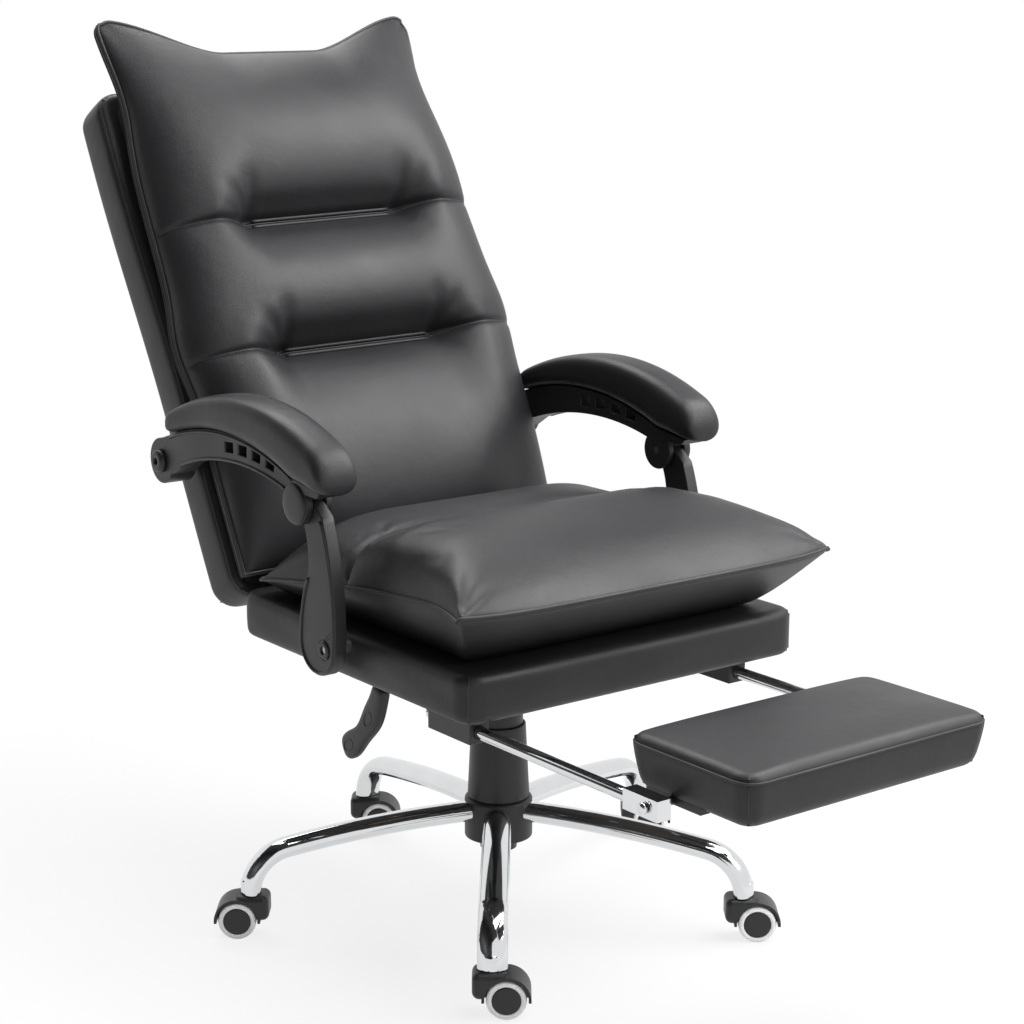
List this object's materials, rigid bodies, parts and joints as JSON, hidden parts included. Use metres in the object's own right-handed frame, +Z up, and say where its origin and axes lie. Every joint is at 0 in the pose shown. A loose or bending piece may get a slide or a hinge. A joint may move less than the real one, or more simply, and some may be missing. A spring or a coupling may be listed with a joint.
{
  "type": "office chair with footrest",
  "caption": "Reclining office chair with a pillow-topped seat and back, linked armrests, a pull-out flip footrest and a star base on casters.",
  "frame": {"origin": "floor point under the axis of the gas lift", "axes": "+Z up, the sitter faces -Y, +X to the sitter's left"},
  "size_m": [0.7513, 1.3349, 1.1815],
  "materials": {
    "black_leather": "smooth semi-gloss faux leather",
    "black_plastic": "satin moulded plastic",
    "polished_chrome": "polished plating",
    "plain_steel": "bright steel",
    "black_paint": "satin paint",
    "stained_plywood": "plywood stained dark",
    "caster_tread": "smooth moulded tread"
  },
  "bodies": {
    "base": {"base_hub": "black_plastic", "base_legs": "polished_chrome", "caster_sleeves": "black_plastic", "gas_cylinder": "black_paint", "column_cover_lower": "black_plastic"},
    "lift": {"gas_piston": "plain_steel", "column_cover_upper": "black_plastic"},
    "release_button": {"gas_button": "plain_steel"},
    "seat": {"seat_mechanism": "black_paint", "lever_pin": "plain_steel", "mechanism_bolts": "plain_steel", "seat_board": "stained_plywood", "seat_base": "black_leather", "seat_cushion": "black_leather", "post_bolts": "plain_steel", "recline_seat_brackets": "black_paint", "recline_pins": "plain_steel", "footrest_guides": "black_paint"},
    "lift_lever": {"lift_lever_rod": "plain_steel", "lift_lever_grip": "black_plastic"},
    "back": {"back_pad": "black_leather", "back_board": "stained_plywood", "back_cushion": "black_leather", "arm_bolts": "plain_steel", "recline_back_brackets": "black_paint"},
    "footrest_slide": {"footrest_rods": "polished_chrome", "footrest_clevises": "polished_chrome"},
    "footrest_panel": {"footrest_hinge_strips": "black_plastic", "footrest_board": "stained_plywood", "footrest_pad": "black_leather"},
    "arm_left": {"arm_frame_left": "black_plastic", "arm_pad_left": "black_leather", "arm_pivot_pin_left": "plain_steel"},
    "post_left": {"arm_post_left": "black_plastic"},
    "arm_right": {"arm_frame_right": "black_plastic", "arm_pad_right": "black_leather", "arm_pivot_pin_right": "plain_steel"},
    "post_right": {"arm_post_right": "black_plastic"},
    "caster_1": {"caster_1_hood": "black_plastic", "caster_1_pins": "plain_steel"},
    "caster_1_wheel_a": {"caster_1_wheel_a": "caster_tread"},
    "caster_1_wheel_b": {"caster_1_wheel_b": "caster_tread"},
    "caster_2": {"caster_2_hood": "black_plastic", "caster_2_pins": "plain_steel"},
    "caster_2_wheel_a": {"caster_2_wheel_a": "caster_tread"},
    "caster_2_wheel_b": {"caster_2_wheel_b": "caster_tread"},
    "caster_3": {"caster_3_hood": "black_plastic", "caster_3_pins": "plain_steel"},
    "caster_3_wheel_a": {"caster_3_wheel_a": "caster_tread"},
    "caster_3_wheel_b": {"caster_3_wheel_b": "caster_tread"},
    "caster_4": {"caster_4_hood": "black_plastic", "caster_4_pins": "plain_steel"},
    "caster_4_wheel_a": {"caster_4_wheel_a": "caster_tread"},
    "caster_4_wheel_b": {"caster_4_wheel_b": "caster_tread"},
    "caster_5": {"caster_5_hood": "black_plastic", "caster_5_pins": "plain_steel"},
    "caster_5_wheel_a": {"caster_5_wheel_a": "caster_tread"},
    "caster_5_wheel_b": {"caster_5_wheel_b": "caster_tread"}
  },
  "joints": [
    {"name": "height", "type": "slide", "parent": "base", "child": "lift", "axis": [0, 0, 1], "range_m": [0, 0.08]},
    {"name": "swivel", "type": "hinge", "parent": "lift", "child": "seat", "pos_m": [0, 0, 0.336], "axis": [0, 0, 1], "continuous": true},
    {"name": "lever", "type": "hinge", "parent": "seat", "child": "lift_lever", "pos_m": [-0.04, 0, 0.349], "axis": [0, 1, 0], "range_deg": [0, 6], "stiffness_Nm_per_rad": 6, "springref_deg": -5.73},
    {"name": "release", "type": "slide", "parent": "lift", "child": "release_button", "axis": [0, 0, -1], "range_m": [0, 0.0048]},
    {"name": "recline", "type": "hinge", "parent": "seat", "child": "back", "pos_m": [0, 0.3, 0.424], "axis": [-1, 0, 0], "range_deg": [-10, 17]},
    {"name": "footrest_pull", "type": "slide", "parent": "seat", "child": "footrest_slide", "axis": [0, 1, 0], "range_m": [0, 0.19]},
    {"name": "footrest_flip", "type": "hinge", "parent": "footrest_slide", "child": "footrest_panel", "pos_m": [0, -0.56, 0.352], "axis": [-1, 0, 0], "range_deg": [0, 180]},
    {"name": "arm_left_link", "type": "hinge", "parent": "back", "child": "arm_left", "pos_m": [0.293, 0.34394, 0.60302], "axis": [-1, 0, 0], "range_deg": [-17, 10]},
    {"name": "post_left_link", "type": "hinge", "parent": "seat", "child": "post_left", "pos_m": [0.292, -0.04394, 0.42398], "axis": [-1, 0, 0], "range_deg": [-10, 17]},
    {"name": "arm_right_link", "type": "hinge", "parent": "back", "child": "arm_right", "pos_m": [-0.293, 0.34394, 0.60302], "axis": [-1, 0, 0], "range_deg": [-17, 10]},
    {"name": "post_right_link", "type": "hinge", "parent": "seat", "child": "post_right", "pos_m": [-0.292, -0.04394, 0.42398], "axis": [-1, 0, 0], "range_deg": [-10, 17]},
    {"name": "caster_1_swivel", "type": "hinge", "parent": "base", "child": "caster_1", "pos_m": [-0.21009, -0.26987, 0.06], "axis": [0, 0, 1], "continuous": true},
    {"name": "caster_1_roll_a", "type": "hinge", "parent": "caster_1", "child": "caster_1_wheel_a", "pos_m": [-0.19651, -0.2801, 0.025], "axis": [0.6018, 0.7986, 0], "continuous": true},
    {"name": "caster_1_roll_b", "type": "hinge", "parent": "caster_1", "child": "caster_1_wheel_b", "pos_m": [-0.19651, -0.2801, 0.025], "axis": [0.6018, 0.7986, 0], "continuous": true},
    {"name": "caster_2_swivel", "type": "hinge", "parent": "base", "child": "caster_2", "pos_m": [0.19174, -0.2832, 0.06], "axis": [0, 0, 1], "continuous": true},
    {"name": "caster_2_roll_a", "type": "hinge", "parent": "caster_2", "child": "caster_2_wheel_a", "pos_m": [0.20532, -0.29343, 0.025], "axis": [0.6018, 0.7986, 0], "continuous": true},
    {"name": "caster_2_roll_b", "type": "hinge", "parent": "caster_2", "child": "caster_2_wheel_b", "pos_m": [0.20532, -0.29343, 0.025], "axis": [0.6018, 0.7986, 0], "continuous": true},
    {"name": "caster_3_swivel", "type": "hinge", "parent": "base", "child": "caster_3", "pos_m": [0.32859, 0.09484, 0.06], "axis": [0, 0, 1], "continuous": true},
    {"name": "caster_3_roll_a", "type": "hinge", "parent": "caster_3", "child": "caster_3_wheel_a", "pos_m": [0.34216, 0.08461, 0.025], "axis": [0.6018, 0.7986, 0], "continuous": true},
    {"name": "caster_3_roll_b", "type": "hinge", "parent": "caster_3", "child": "caster_3_wheel_b", "pos_m": [0.34216, 0.08461, 0.025], "axis": [0.6018, 0.7986, 0], "continuous": true},
    {"name": "caster_4_swivel", "type": "hinge", "parent": "base", "child": "caster_4", "pos_m": [0.01134, 0.34181, 0.06], "axis": [0, 0, 1], "continuous": true},
    {"name": "caster_4_roll_a", "type": "hinge", "parent": "caster_4", "child": "caster_4_wheel_a", "pos_m": [0.02492, 0.33158, 0.025], "axis": [0.6018, 0.7986, 0], "continuous": true},
    {"name": "caster_4_roll_b", "type": "hinge", "parent": "caster_4", "child": "caster_4_wheel_b", "pos_m": [0.02492, 0.33158, 0.025], "axis": [0.6018, 0.7986, 0], "continuous": true},
    {"name": "caster_5_swivel", "type": "hinge", "parent": "base", "child": "caster_5", "pos_m": [-0.32158, 0.11641, 0.06], "axis": [0, 0, 1], "continuous": true},
    {"name": "caster_5_roll_a", "type": "hinge", "parent": "caster_5", "child": "caster_5_wheel_a", "pos_m": [-0.33516, 0.12664, 0.025], "axis": [-0.6018, -0.7986, 0], "continuous": true},
    {"name": "caster_5_roll_b", "type": "hinge", "parent": "caster_5", "child": "caster_5_wheel_b", "pos_m": [-0.33516, 0.12664, 0.025], "axis": [-0.6018, -0.7986, 0], "continuous": true}
  ],
  "couplings": [
    {"joint": "release", "follows": "lever", "m_per_rad": 0.0439},
    {"joint": "arm_left_link", "follows": "recline", "ratio": -1},
    {"joint": "post_left_link", "follows": "recline", "ratio": 1},
    {"joint": "arm_right_link", "follows": "recline", "ratio": -1},
    {"joint": "post_right_link", "follows": "recline", "ratio": 1}
  ]
}
